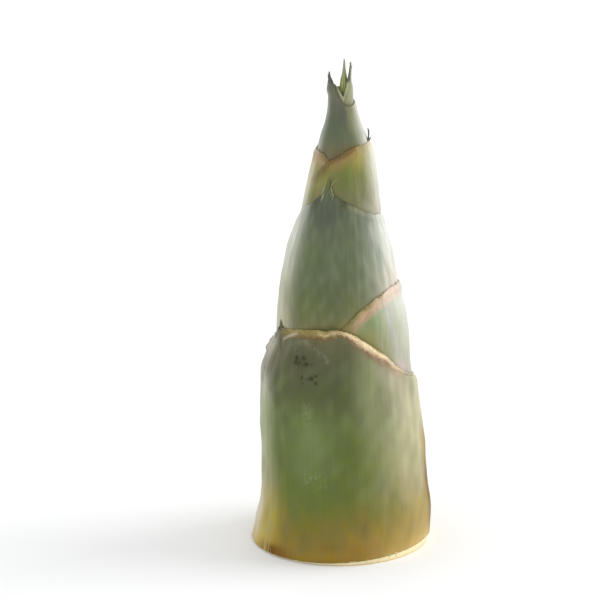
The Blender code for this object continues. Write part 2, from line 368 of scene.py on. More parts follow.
def embossed(tree, surface, height, depth):
    """Gives the surface a relief of height times depth in metres, at half strength."""
    bump = node(tree, "Bump", {"Height": height, "Strength": 0.5, "Distance": depth})
    tree.links.new(bump.outputs[0], surface.inputs["Normal"])


def sheath_finish(name, rough):
    """A fibrous leaf: the painted colour, broken up by lengthwise fibres, soft mottling and dark specks,
    with a waxy sheen. Its relief is the streaks plus fine veins, a sine round the leaf whose waves wander
    with the streaks, plus strands where the leaf is dry."""
    material, tree, surface = new_finish(name, rough, specular=0.25, sheen=0.1)
    grain, (across, _, _) = mark(tree, "grain")
    _, (dry, _, specks) = mark(tree, "tone")
    streak = noise(tree, grain, (0.75, 0.018, 0.0), 4.0)
    fibre = noise(tree, grain, (2.6, 0.05, 0.0), 2.0)
    mottle = noise(tree, grain, (0.16, 0.10, 0.0), 4.0, 0.6)
    strand = noise(tree, grain, (0.35, 0.2, 2.4), 3.0)

    streaks = remap(tree, streak, 0.25, 0.75, 0.955, 1.045)
    fine = maths(tree, "MULTIPLY", streaks, remap(tree, fibre, 0.25, 0.75, 0.965, 1.035))
    fine = maths(tree, "MULTIPLY", fine, remap(tree, mottle, 0.25, 0.75, 0.92, 1.08))
    dried = node(tree, "Mix", {0: dry, 2: 1.0, 3: remap(tree, strand, 0.28, 0.72, 0.72, 1.2)}).outputs[0]
    fresh = remap(tree, mottle, 0.3, 0.7, 0.93, 1.07)
    inputs = {"Color": painted(tree), "Saturation": fresh, "Value": maths(tree, "MULTIPLY", fine, dried)}
    colour = node(tree, "HueSaturation", inputs).outputs[0]
    spots = remap(tree, noise(tree, grain, (1.1, 0.6, 0.0), 3.0, 0.7), 0.5, 0.6, smooth=True)
    colour = blend(tree, maths(tree, "MULTIPLY", spots, specks), colour, tint("2e3020"))
    tree.links.new(colour, surface.inputs["Base Color"])
    tree.links.new(remap(tree, mottle, 0.3, 0.7, rough - 0.05, rough + 0.1), surface.inputs["Roughness"])

    wander = maths(tree, "MULTIPLY_ADD", across, 5.2, remap(tree, streak, 0, 1, 0, 5))
    veins = maths(tree, "MULTIPLY", maths(tree, "SINE", wander), 0.1)
    relief = maths(tree, "ADD", maths(tree, "MULTIPLY", streak, 0.35), veins)
    strands = maths(tree, "MULTIPLY", strand, maths(tree, "MULTIPLY", dry, 1.4))
    embossed(tree, surface, maths(tree, "ADD", relief, strands), 0.00016)
    return material


# -------- Camera, light and floor --------


def aimed(thing, target):
    """Turns a light or the camera towards a point."""
    thing.rotation_euler = (Vector(target) - thing.location).to_track_quat("-Z", "Y").to_euler()
    return thing


def make_camera():
    """A long lens a metre away, 15 degrees above the level of the shoot's middle and a little to its left."""
    left, distance, height, middle = -0.0183, 1.0, 0.374, 0.110
    lens = bpy.data.cameras.new("camera")
    lens.lens = 140.87
    lens.sensor_width = 36.0
    camera = bpy.data.objects.new("camera", lens)
    camera.location = (left, -distance, height)
    bpy.context.scene.collection.objects.link(camera)
    bpy.context.scene.camera = aimed(camera, (left, 0.0, middle))


def window_light(name, azimuth, elevation, spread, strength):
    """A broad even light from far away, from an azimuth and elevation, as wide as spread degrees."""
    light = bpy.data.lights.new(name, "SUN")
    light.angle = np.radians(spread)
    light.energy = strength
    lamp = bpy.data.objects.new(name, light)
    a, e = np.radians(azimuth), np.radians(elevation)
    lamp.location = (np.sin(a) * np.cos(e), -np.cos(a) * np.cos(e), np.sin(e))
    bpy.context.scene.collection.objects.link(lamp)
    aimed(lamp, (0.0, 0.0, 0.0))


def make_studio():
    """A white room with a broad window on the right, a little behind the shoot, and a pale matt floor."""
    scene = bpy.context.scene
    scene.view_settings.view_transform = "Standard"
    scene.view_settings.look = "None"
    world = bpy.data.worlds.new("white_room")
    world.use_nodes = True
    background = world.node_tree.nodes["Background"]
    background.inputs["Color"].default_value = (1.0, 1.0, 1.0, 1.0)
    background.inputs["Strength"].default_value = 1.0
    scene.world = world
    window_light("right_window", azimuth=100.0, elevation=22.0, spread=45.0, strength=2.0)
    make_floor(6.0)


def make_floor(reach):
    """A square of pale paper, as far as reach on each side, in metres."""
    mesh = bpy.data.meshes.new("floor")
    corners = [(-reach, -reach, 0), (reach, -reach, 0), (reach, reach, 0), (-reach, reach, 0)]
    mesh.from_pydata(corners, [], [(0, 1, 2, 3)])
    material, _, surface = new_finish("floor_paper", 0.9, specular=0.2)
    surface.inputs["Base Color"].default_value = (0.88, 0.885, 0.89, 1.0)
    mesh.materials.append(material)
    floor = bpy.data.objects.new("floor", mesh)
    bpy.context.scene.collection.objects.link(floor)
    return floor


# -------- Colours of the sheaths, painted by formula on the points of each surface --------

# A place on a sheath: angle as unwrapped, side from -180 to 180, height, millimetres round, millimetres down
# from the free margin and in from the free side, share of the way across the blade (0 at its middle, 1
# beside it) and up it, and millimetres above the margin of the next sheath outside.
Spot = namedtuple("Spot", "angle side z round inset flank blade up above")

# Dark blots on the lowest sheath: direction, height, radius.
DARK_SPOTS = (
    (-32.4, 89.4, 1), (-35, 91.2, 0.8), (-35.6, 89.2, 1), (-29, 91.7, 0.7), (-27, 89, 0.8),
    (-21.5, 83.4, 0.9), (-17.5, 84.5, 0.6), (-17.8, 81.2, 0.7), (-28.8, 83.2, 0.6),
)
BLOT_DEGREE = 0.58  # millimetres that one degree takes up round the lowest sheath
CLOUD = 0.13  # share of the light and dark clouds' colours
DEEPER = np.array([0.004, 0.005, 0.012])  # taken off every painted colour


def by(x, *stops):
    """Colours between stops of (x, code), in linear light."""
    at = [stop[0] for stop in stops]
    codes = np.array([tint(stop[1])[:3] for stop in stops])
    return np.stack([np.interp(x, at, codes[:, i]) for i in range(3)], axis=-1)


def measure_by(x, *stops):
    """A value that runs straight between stops of (x, value)."""
    return np.interp(x, *np.array(stops, float).T)


def between(x, low, high, soft):
    """1 between low and high, fading to 0 over soft on either side."""
    return smoothstep((x - low) / soft + 0.5) * smoothstep((high - x) / soft + 0.5)


def over(colour, coat, share):
    """The colour under a coat, which is one code or an array of colours, laid on by share."""
    coat = np.array(tint(coat)[:3]) if isinstance(coat, str) else coat
    return colour + (coat - colour) * np.clip(share, 0, 1)[..., None]


def patches(colour, side, z, *rows):
    """Soft oval coats laid on in turn, each a bell curve round times a bell curve up. A row is its colour and
    share, its middle and spread in degrees round, and its middle and spread in height."""
    for code, share, middle, width, height, depth in rows:
        colour = over(colour, code, share * near(side, middle, width) * near(z, height, depth))
    return colour


def clouded(colour, cloud, light, dark, share=1):
    """The colour, lighter where the noise is above zero and darker where it is below."""
    colour = over(colour, light, CLOUD * np.clip(cloud, 0, 2) * share)
    return over(colour, dark, CLOUD * np.clip(-cloud, 0, 2) * share)


def right_bloom_and_light(side, start, width, bow, back=176, fade=50):
    """Share of the pale on the right, partly wax bloom and partly painted light: the way from start across
    width, to the power bow, gone at the back.
    """
    return np.clip((side - start) / width, 0, 1) ** bow * smoothstep((back - side) / fade)


def left_bloom_and_light(side, start, width, back=176, fade=50):
    """Share of the pale on the left, partly wax bloom and partly painted light: an even step from start
    across width, gone at the back.
    """
    return smoothstep((start - side) / width) * smoothstep((back + side) / fade)


def stroke(spot, path, width, reach=30):
    """A soft brush stroke of the given width in millimetres along a path of (angle, height) points, on a
    surface of radius reach: a bell curve of the distance to the nearest stretch of the path."""
    scale = np.radians(1) * reach
    x, z = spot.side * scale, spot.z
    distance = np.full(np.shape(x), np.inf)
    path = np.array(path, float) * (scale, 1)
    for (x0, z0), (x1, z1) in zip(path[:-1], path[1:]):
        dx, dz = x1 - x0, z1 - z0
        share = np.clip(((x - x0) * dx + (z - z0) * dz) / (dx * dx + dz * dz), 0, 1)
        distance = np.minimum(distance, np.hypot(x - x0 - share * dx, z - z0 - share * dz))
    return near(distance, 0, 0.5 * width)


def greens_1(p):
    """Ochre at the cut, green above and olive at the top, in soft patches."""
    side, z = p.side, p.z
    blur = 1.8 * ripple(101, p.round, z, 15, 26) + 0.5 * ripple(102, p.round, z, 3.5, 40)
    ochre = 4 * near(side, 14, 20) - 4 * near(side, -26, 22) + 5 * near(side, -62, 12)
    up = z - ochre * below(z, 62, 30) + blur * beyond(z, -4, 16)
    colour = by(up, (0, "886a28"), (3, "8b7030"), (7, "897334"), (12, "7d6f34"), (17, "756b31"),
                (22, "6a6c31"), (28, "626a33"), (36, "5f6a35"), (46, "5f6b3a"), (56, "606d3f"),
                (62, "5f6b42"), (69, "575f3c"), (76, "52593a"), (84, "52593d"), (92, "585b43"),
                (99, "5f5c45"), (104, "64604a"))
    cloud = ripple(103, p.round, z, 12, 16)
    colour = clouded(colour, cloud, "7d8a66", "4c5334", beyond(z, 24, 12))
    colour = patches(colour, side, z, ("758456", 0.75, -24, 11, 55, 13), ("58642f", 0.5, 5, 11, 46, 18),
                     ("4b5437", 0.6, -10, 15, 78, 8), ("7c8a58", 0.6, 21, 10, 80, 13))
    colour = over(colour, "54642a", 0.55 * near(side, 16, 11) * between(z, 34, 60, 12))
    colour = over(colour, "5a6e34", 0.3 * near(side, -30, 20) * between(z, 26, 70, 12))
    return patches(colour, side, z, ("6f4f2c", 0.3, -8, 12, 8, 2.5), ("6d5426", 0.5, 12, 2.2, 17, 6))


def bloom_and_painted_light_1(colour, p):
    """Pale towards both sides, partly wax bloom and partly painted light, and the coats on the left flank."""
    side, z = p.side, p.z
    wax = 1 + 0.12 * ripple(104, p.round, z, 12, 24)
    # Pale towards the right, then towards the left: partly wax bloom and partly painted light.
    pale = by(z, (0, "cfc094"), (4, "c0a468"), (8, "ab925a"), (14, "a28c52"), (22, "9f8c58"), (30, "a09270"),
              (38, "a89f7c"), (46, "b2ab88"), (58, "b2ac8c"), (72, "aca88c"), (84, "b0a890"))
    colour = over(colour, pale, wax * right_bloom_and_light(side, 4, 66, 1.15, 178, 60))
    pale = by(z, (0, "c0a457"), (6, "c0ac62"), (13, "b9a86c"), (22, "b2a672"), (32, "a5a07e"), (44, "a4a783"),
              (60, "a6ad85"), (70, "aeb196"), (77, "a9a796"), (83, "918c7c"), (90, "a9a396"), (97, "b2ada0"))
    start = measure_by(z, (0, -40), (16, -48), (34, -50), (62, -52), (78, -50), (90, -56), (100, -62))
    colour = over(colour, pale, wax * left_bloom_and_light(side, start, 26, 178, 60))
    colour = patches(colour, side, z, ("a3953f", 0.75, -59, 11, 15, 13))
    cream = below(side, -69, 10) * near(z, 13, 11) * beyond(side, -135, 30)
    colour = over(colour, "cfc5b0", 0.8 * cream)
    olive = below(side, -76, 8) * between(z, 34, 80, 12) * beyond(side, -130, 26)
    colour = over(colour, "6a7050", 0.6 * olive)
    return patches(colour, side, z, ("b8b4a6", 0.5, -71, 4, 93, 3))


def marks_1(colour, p):
    """The darker top, faint scratches, dark blots, painted shade down the crease below the blade, and the
    torn shoulder beside it.
    """
    side, z = p.side, p.z
    colour = patches(colour, side, z, ("56573f", 0.5, -28, 24, 90, 10), ("50533a", 0.3, 2, 14, 90, 8),
                     ("474934", 0.6, -33, 10, 90, 5))
    broken = smoothstep(0.5 + 0.6 * ripple(107, p.round, z, 4, 4))
    veil = stroke(p, ((-44, 94.5), (-37, 97), (-29, 99), (-24, 96.5), (-17, 95), (-10, 91)), 2)
    colour = over(colour, "7b806c", 0.5 * veil * broken)
    colour = patches(colour, side, z, ("7f8b6a", 0.4, -29, 3.5, 98.3, 1.3))
    colour = over(colour, "7b8765", 0.45 * stroke(p, ((-24, 71), (-25, 62)), 3.2) * broken)
    smear = near(side, -22, 8) * near(z, 37.5, 3) * smoothstep(ripple(108, p.round, z, 4, 3))
    colour = over(colour, "86946f", 0.5 * smear)
    colour = over(colour, "b7a8a3", 0.6 * stroke(p, ((33, 93), (40, 90), (45, 85)), 2))
    ragged = np.maximum(1 + 0.3 * ripple(109, p.round, z, 1.2, 1.2), 0.5)
    for middle, height, size in DARK_SPOTS:
        blot = np.hypot((side - middle) * BLOT_DEGREE, z - height) / size * ragged
        colour = over(colour, "33371f", 0.7 * smoothstep(1.6 - blot))
    colour = over(colour, "75664f", 0.55 * stroke(p, ((-60, 96), (-59, 91), (-61, 84)), 2.2))
    # A dark line down from the blade's foot: painted shade in the crease.
    crease = stroke(p, ((-67, 101), (-63.5, 97.4), (-60, 94.5), (-57, 92.3)), 1.6)
    colour = over(colour, "44463a", 0.85 * crease)
    torn = smoothstep(0.5 + 0.7 * ripple(110, p.round, z, 2.4, 5))
    path = ((-71, 96.5), (-75, 92.3), (-79.6, 88.5), (-77, 85.5), (-74.5, 82), (-77, 75))
    return over(colour, "4e4d38", 0.85 * stroke(p, path, 1.7) * torn)


def edges_1(colour, p):
    """Golden brown down the free side, straw where the sheath tucks under, scorched fibres at the cut."""
    side, z = p.side, p.z
    brown = by(z, (6, "a8976c"), (13, "867240"), (23, "75622e"), (33, "7f6934"), (46, "8c7a48"))
    colour = over(colour, brown, below(p.flank, 9, 7) * below(z, 64, 18))
    # A darker strip along the free side: partly its dry brown edge and partly painted shade of the gap at the
    # silhouette.
    colour = over(colour, "5e481b", 0.7 * below(p.flank, 6.5, 4) * between(z, 8, 38, 10))
    tucked = below(p.angle, -264, 12)
    colour = over(colour, "8a7040", 0.55 * tucked * below(z, 66, 30))
    scorch = smoothstep(0.6 + ripple(105, p.round, z, 1.5, 30))
    colour = over(colour, "4f300f", 0.9 * scorch * near(side, -54, 12) * below(z, 6.4, 3.4))
    colour = patches(colour, side, z, ("7b4e10", 0.6, -45, 8, 2.6, 3))
    return over(colour, "6a4a20", 0.35 * scorch * below(z, 3, 3) * (side < 10))


def rolled_width(side):
    """How wide the dried roll of the lowest sheath's margin is: widest in front on the right."""
    return measure_by(side, (-180, 2.2), (-56, 2.6), (-8, 2.6), (0, 2), (8, 2.6), (18, 3.3), (34, 3.1),
                      (50, 2.2), (60, 1.3), (82, 0.9), (120, 1.8), (180, 2.2))


def rim_1(p):
    """The dried rim: a soft golden band in front on the left, cream on the right, none on the far sides.
    Painted highlights run along the golden band and along the folded strip at its left end, and painted shade
    lies under the cream roll.
    """
    side, inset = p.side, p.inset + 0.2 * ripple(106, p.round, p.z, 4, 4)
    gold = by(inset, (0, "958a56"), (0.7, "8b7b4a"), (1.6, "87784a"), (2.6, "7f6e46"), (3.4, "6e5d40"),
              (4.6, "635a44"))
    # A painted highlight along the golden band, a little below its top, in front.
    gold = over(gold, "bfae85", 0.8 * near(inset, 1.2, 0.7) * between(side, -20, -3, 8))
    gold = over(gold, "6b5334", 0.5 * near(inset, 3.4, 0.8) * between(side, -36, -14, 8))
    part = inset / rolled_width(side)
    # Cream across the roll, darker at and below its lower border: painted shade under the roll.
    cream = by(part, (0, "a8935f"), (0.15, "c9b48b"), (0.35, "dcc7a3"), (0.65, "ccb391"), (0.85, "b0977a"),
               (1, "8f7459"), (1.25, "7d6850"), (1.6, "7a6f52"))
    cream = over(cream, "b3a288", 0.65 * beyond(side, 20, 32) * (side < 120))
    colour = over(gold, cream, beyond(side, -9, 20))
    thin = 1 - smoothstep((part - 1.15) / (0.5 + 0.5 * beyond(side, 14, 20)))
    cover = np.where(side < -3, 1 - beyond(inset, 3, 2), thin)
    cover = cover * (1 - between(side, 56, 200, 10)) * beyond(side, -66, 16)
    lip = 0.5 * below(inset, 0.9, 0.5) * (1 - between(side, 54, 120, 6))
    # A painted highlight along the folded strip at the left end of the rim.
    painted_fold_highlight = 0.85 * stroke(p, ((-57, 96.8), (-49, 99.1), (-40.5, 101)), 1.5)
    cover = np.maximum(np.maximum(cover, lip), painted_fold_highlight)
    return over(colour, "b3aa90", painted_fold_highlight), cover * beyond(p.angle, -285, 8)


def paint_sheath_1(p):
    """The lowest sheath: its greens, waxy sides, marks and edges, then its rim and its dark blade."""
    colour = edges_1(marks_1(bloom_and_painted_light_1(greens_1(p), p), p), p)
    dry, cover = rim_1(p)
    colour = over(colour, dry, cover)
    return over(colour, "4a4a3c", 0.9 * smoothstep(p.up / 0.25)), cover


def paint_sheath_2(p):
    """Pale waxy green, nearly white on the right and pale on the left from wax bloom and painted light, with
    a broad peach rim and painted shade just above the lowest sheath's rim.
    """
    side, z = p.side, p.z
    inset = p.inset + 0.35 * ripple(111, p.round, z, 6, 6)
    blur = 2 * ripple(112, p.round, z, 10, 24)
    colour = by(z + blur, (18, "8d8f58"), (90, "7b7f57"), (98, "80825a"), (104, "7f865c"), (112, "86906f"),
                (118, "8b9774"))
    # Pale towards the right and the left: partly wax bloom and partly painted light.
    pale_wax_and_light = by(z, (72, "aaa096"), (80, "a59a90"), (87, "a3a292"), (95, "a8aa9a"), (103, "b3b5a6"),
              (112, "c2c3bb"))
    colour = over(colour, pale_wax_and_light, right_bloom_and_light(side, 26, 42, 1.2))
    colour = over(colour, "a3a890", 0.8 * left_bloom_and_light(side, -60, 40))
    colour = patches(colour, side, z, ("7a9468", 0.35, 30, 7, 108, 4))
    colour = over(colour, "b0aeb2", 0.4 * stroke(p, ((46, 112), (50, 99), (53, 92)), 4))
    # Just above the lowest sheath's rim: olive and a dark brown line, painted shade beside the rim; then
    # paler olive and lilac further round.
    colour = patches(colour, side, p.above, ("7f7a45", 0.5, 24, 14, 1.6, 2.2),
                     ("67592f", 0.6, 27, 12, 0.3, 0.9), ("8c8868", 0.5, 41, 7, 2, 4),
                     ("b3a3a3", 0.7, 63, 9, 1.5, 4))
    rim = by(inset, (0, "7d7248"), (0.6, "8d7e56"), (1.4, "a5926e"), (2.8, "ae9677"), (4, "b0937a"),
             (5.6, "a2977a"))
    rim = patches(rim, side, inset, ("b08270", 0.5, 26, 10, 3.6, 1.2))
    dry = smoothstep((inset + 0.03 * np.clip(side - 10, 0, 60)) / 1.8)
    rim = over(rim, "ccb8a6", beyond(side, 22, 34) * dry * below(side, 150, 30))
    rim = over(rim, "7f7848", 0.9 * below(side, 20, 16) * (side > -70))
    rim = over(rim, "bcbab4", 0.85 * beyond(side, 64, 14) * (side < 140))
    cover = 1 - beyond(inset, 2.8, 3.6)
    return over(colour, rim, cover), 0.7 * cover


def paint_sheath_3(p):
    """Grey green with a dark blue-grey top, pale towards both sides from wax bloom and painted light, a fine
    dark margin and a pale blade with a painted highlight on its left edge and painted shade down its right
    half.
    """
    side, z = p.side, p.z
    inset = p.inset + 0.12 * ripple(121, p.round, z, 3, 3)
    blur = 2 * ripple(122, p.round, z, 12, 22) + 0.5 * ripple(123, p.round, z, 3, 34)
    colour = by(z + blur, (42, "7a7c48"), (90, "6a7048"), (104, "6c6c48"), (112, "5f6745"), (117, "5e6546"),
                (123, "5a6448"), (130, "5c664d"), (136, "606b51"), (142, "5e6751"), (148, "5b6451"),
                (154, "545b4b"), (160, "525847"))
    colour = clouded(colour, ripple(124, p.round, z, 10, 13), "788570", "4a543c")
    colour = patches(colour, side, z, ("50564f", 0.7, -18, 16, 152, 5.5), ("5f7048", 0.4, -34, 9, 126, 16),
                     ("6f7252", 0.55, 10, 11, 112, 6))
    colour = over(colour, "868252", 0.4 * between(side, -30, 18, 16) * near(z, 103.5, 4))
    colour = over(colour, "8a7c48", 0.75 * between(side, -44, 6, 16) * below(p.above, 4, 4))
    colour = patches(colour, side, z, ("9c8c4e", 0.5, -37, 5, 99, 3))
    wax = 1 + 0.12 * ripple(125, p.round, z, 11, 22)
    # Pale towards the right and the left: partly wax bloom and partly painted light.
    pale_wax_and_light = by(z, (100, "b9a890"), (110, "cbb9a6"), (116, "d2c8bc"), (124, "c4beb2"), (132, "c8c8bf"),
              (144, "cbccc6"), (152, "bcbbb0"))
    bow = measure_by(z, (122, 1.55), (140, 1.9))
    colour = over(colour, pale_wax_and_light, wax * right_bloom_and_light(side, 11, 60, bow))
    pale_wax_and_light = by(z, (96, "b8b69e"), (108, "b2b098"), (120, "b0b199"), (130, "c2c4b4"), (140, "cbccbf"),
              (152, "bcbdb4"))
    colour = over(colour, pale_wax_and_light, wax * left_bloom_and_light(side, -38, 38))
    colour = over(colour, "7c7c5c", 0.5 * between(side, 4, 34, 10) * near(inset, 0.8, 2))
    strong = np.clip(0.9 * near(side, -43, 5) + 0.85 * near(side, 3, 6), 0, 1)
    cover = strong * below(inset, 2.9, 2)
    colour = over(colour, "454a3a", cover * (p.blade > 0.95))
    # The blade as if folded: a painted highlight along its left edge, olive in the middle, painted shade down
    # its right half and in the slit beside it.
    blade = by(side - SHEATHS[2].blade.at, (-9, "a2ab86"), (-6, "7d8350"), (-2, "6d7144"), (1, "6a6e42"),
               (2.6, "454c26"), (4.2, "5a6238"), (9, "76805a"))
    colour = over(colour, blade, below(p.blade, 1.02, 0.1) * below(inset, 3, 2))
    return colour, 0.5 * cover


def paint_sheath_4(p):
    """Yellow olive with a green heart below a tan band and a brown margin; pale towards both sides, cream at
    the left, from wax bloom and painted light.
    """
    side, z = p.side, p.z
    inset = p.inset + 0.2 * ripple(131, p.round, z, 4, 4)
    blur = ripple(132, p.round, z, 8, 14)
    colour = by(z + blur, (74, "9a9860"), (150, "75775a"), (158, "6c6d4e"), (166, "6f7248"), (172, "777743"),
                (182, "8b7e48"))
    colour = patches(colour, side, z, ("5f6f38", 0.65, 5, 13, 167.5, 5), ("928c4c", 0.85, -45, 14, 168, 7),
                     ("938c4c", 0.7, 25, 12, 176, 4))
    band = below(inset, 6, 4) * below(side, 40, 16) * (side > -75)
    tan = by(side, (-62, "948a70"), (-48, "6f6445"), (-34, "695c34"), (-22, "8a774b"), (0, "92794a"),
             (20, "947c4a"))
    colour = over(colour, tan, 0.85 * band)
    wax = 1 + 0.1 * ripple(133, p.round, z, 8, 14)
    # Pale towards the right and the left: partly wax bloom and partly painted light.
    pale_wax_and_light = by(z, (150, "b5ab9c"), (162, "b8b6a8"), (172, "c3c2b4"), (180, "c8c4b0"))
    colour = over(colour, pale_wax_and_light, wax * right_bloom_and_light(side, 27, 43, 1.7))
    pale_wax_and_light = by(z, (155, "bfbda8"), (164, "cdcaae"), (172, "bfb69c"), (180, "aca28c"))
    colour = over(colour, pale_wax_and_light, wax * left_bloom_and_light(side, -50, 28))
    under = beyond(p.angle, 250, 20)
    front = 0.3 + 0.7 * between(side, -34, 24, 10)
    line = 0.8 * below(inset, 2.2, 1.2) * front * (1 - 0.6 * under)
    colour = over(colour, "705a36", line)
    colour = over(colour, "a8906f", 0.7 * under * near(inset, 3, 2.2))
    colour = over(colour, "35382b", 0.9 * smoothstep(p.up / 0.15))
    return colour, np.maximum(line, 0.4 * band)


def paint_sheath_5(p):
    """Grey green, darker and greyer towards the split blade, with a yellow-green flank on the right, brown
    with painted shade just above the fourth sheath's margin, and pale towards both sides from wax bloom and
    painted light.
    """
    side, z, inset = p.side, p.z, p.inset
    blur = 1.2 * ripple(142, p.round, z, 6, 14)
    colour = by(z + blur, (106, "8b9068"), (174, "6b6044"), (178, "676148"), (182, "60654f"), (187, "59624d"),
                (192, "575f4f"), (197, "5e6254"), (203, "686a5a"), (208, "5e5f57"))
    colour = patches(colour, side, z, ("585751", 0.7, 8, 12, 195, 4))
    # Brown just above the fourth sheath's margin: partly brown tissue and partly painted shade where it comes
    # out from under that margin.
    colour = over(colour, "68552f", 0.6 * between(side, -34, 34, 16) * below(p.above, 3.2, 3.2))
    colour = patches(colour, side, z, ("6e6d5c", 0.5, -34, 12, 176, 6), ("7f816e", 0.55, -6, 16, 206, 2.5))
    colour = over(colour, "737656", 0.75 * between(side, 16, 60, 14) * beyond(z, 183, 6))
    # Pale towards the right and the left: partly wax bloom and partly painted light.
    pale_wax_and_light = by(z, (174, "c3bfb0"), (181, "d2d2c4"), (186, "b9bab0"), (192, "acaa9c"), (200, "b3b0a0"))
    colour = over(colour, pale_wax_and_light, right_bloom_and_light(side, 22, 48, 1.9))
    pale_wax_and_light = by(z, (172, "c6c2b2"), (180, "a8a89c"), (186, "90948c"), (190, "8c9088"), (196, "a0a39b"),
              (201, "94958a"), (205, "6e7062"))
    colour = over(colour, pale_wax_and_light, left_bloom_and_light(side, -46, 38))
    cover = below(inset, 1, 0.7) * below(side, 60, 30)
    colour = over(colour, "5b5c48", 0.75 * cover)
    colour = patches(colour, side, inset, ("6f6349", 0.5, 34, 16, 1.6, 1.4))
    beside = below(np.abs(turned(side, SHEATHS[4].blade.at)), 60, 20)
    return over(colour, "4b4b46", 0.85 * smoothstep(p.up / 0.3) * beside), 0.5 * cover


def paint_sheath_6(p):
    """Grey green, paler grey towards the right from wax bloom and painted light, with a light lip; its blade
    is dry, dark olive in front and grey at the side.
    """
    side, z, inset = p.side, p.z, p.inset
    colour = by(z, (134, "9aa06c"), (196, "74735a"), (200, "87876c"), (204, "8b8e6e"), (208, "868a6c"),
                (217, "7d7c68"))
    # Paler grey towards the right: partly wax bloom and partly painted light.
    colour = over(colour, "96968a", 0.8 * beyond(side, 40, 40) * below(side, 176, 50))
    lip = below(inset, 1.1, 0.6) * (p.up < 0.1) * below(side, 34, 12)
    colour = over(colour, "9fa482", 0.8 * lip)
    dark = beyond(z, 206.5, 2) * below(side, 62, 8) * (side > 20)
    colour = over(colour, "42432a", 0.95 * dark)
    colour = over(colour, "77756a", 0.75 * beyond(p.up, 0.15, 0.4) * beyond(side, 60, 8))
    return colour, 0.3 * below(inset, 0.8, 0.4)


PAINTS = (paint_sheath_1, paint_sheath_2, paint_sheath_3, paint_sheath_4, paint_sheath_5, paint_sheath_6)


# -------- Leaf sheaths --------

# For each sheath: columns round, rows up the body and in the rim, and depth of the rim. Then how ragged its
# margin is, how far its dried rim rolls outwards, the power that its blade's height falls with towards its
# sides, how much further than in the frame the blade's foot spreads, and how far the margin draws in.
Look = namedtuple("Look", "columns body_rows rim_rows depth jag roll point flare drawn_in")
LOOKS = (
    Look(760, 110, 34, 8.0, 0.22, 0.6, 1.15, 0.0, 0.2),
    Look(620, 80, 26, 8.0, 0.16, 0.25, 1.15, 0.0, 0.2),
    Look(640, 110, 30, 9.0, 0.14, 0.1, 1.15, 0.0, 0.2),
    Look(480, 90, 28, 8.0, 0.14, 0.15, 1.15, 0.0, 0.2),
    Look(320, 70, 26, 7.0, 0.1, 0.0, 1.0, 1.15, 0.05),
    Look(260, 50, 26, 6.0, 0.08, 0.0, 0.6, 0.0, 0.0),
)
GRAIN_RADIUS = 34.0  # radius at which the millimetres round a sheath are counted
FLARE_BELOW, FLARE_SPREAD = 6.0, 45.0  # where a blade's foot starts to spread, and over how many degrees
DRAW_DEPTH, THIN_DEPTH = 3.0, 2.5  # depths of margin that draw in and thin to half
CORNER_IN, CORNER_DOWN = 5.0, 3.0  # the rounded upper corner of the lowest sheath's free side
SIDE_LIP = 0.45  # how far that side stands out
BARE_ROLL = 3.0  # width of the roll of the other margins
# The ragged edge: seed, share and size in degrees of each noise.
RAG = ((10, 1.0, 16.0), (20, 0.5, 5.0), (25, 0.3, 1.6))
# Ribs and dents: seed, height, and size round and up of each noise.
RELIEF = ((30, 0.04, 8.0, 160.0), (40, 0.014, 2.6, 120.0), (50, 0.2, 30.0, 42.0), (60, 0.05, 10.0, 16.0))
INNER_STEP = 6  # the inner face keeps every sixth row


def fine_columns(sheath, count):
    """Angles of the columns, four times as dense at the blade: even steps of the running sum of density."""
    even = np.linspace(sheath.margin[0][0], sheath.margin[-1][0], 2881)
    share = np.cumsum(1.0 + 3.0 * near(turned(even, sheath.blade.at), 0.0, 12.0))
    share = (share - share[0]) / (share[-1] - share[0])
    angles = np.interp(np.linspace(0.0, 1.0, count if sheath.on_top else count + 1), share, even)
    return angles if sheath.on_top else angles[:-1]


def blade_share(index, angle):
    """0 in the middle of the blade, 1 at its sides and more beyond them."""
    blade = SHEATHS[index].blade
    at = np.array(blade.at)
    radius = inside(index, at, along(SHEATHS[index].margin, at))
    return np.abs(turned(angle, blade.at)) / np.degrees(0.5 * blade.width / radius)


def covered_to(index, angle):
    """Height up to which the next sheath outside hides this one."""
    if index == 0:
        return 0.0 * angle
    outer = SHEATHS[index - 1]
    return along(outer.margin, unwrapped(outer, angle))


def walls(index, angle, z):
    """Radius of a sheath's inner face and its thickness there: the frame's, except that the foot of the blade
    may spread further, and that the last millimetres below the margin thin to half and draw in."""
    sheath, look = SHEATHS[index], LOOKS[index]
    above = z - along(sheath.margin, angle)
    thin = smoothstep(-above / FADE)
    lift = 0.0
    if sheath.on_top:
        ends = (sheath.margin[0][0], sheath.margin[-1][0])
        top, beneath = ends if sheath.on_top == "start" else ends[::-1]
        lift = smoothstep((LAP + LIFT - np.abs(angle - top)) / LIFT)
        thin = thin * (1.0 - lift) * smoothstep((np.abs(angle - beneath) - LAP) / LIFT)
    lean = sheath.blade.lean * smoothstep(above / sheath.blade.height)
    foot = smoothstep(above / FLARE_BELOW + 1.0) * near(turned(angle, sheath.blade.at), 0.0, FLARE_SPREAD)
    inner = inside(index, angle, z) + lift * (EDGE + GAP) + lean + look.flare * foot
    inner = inner - look.drawn_in * smoothstep(1.0 + above / DRAW_DEPTH)
    wall = EDGE + (sheath.thick - EDGE) * thin
    return inner, wall * (0.5 + 0.5 * smoothstep(-above / THIN_DEPTH))


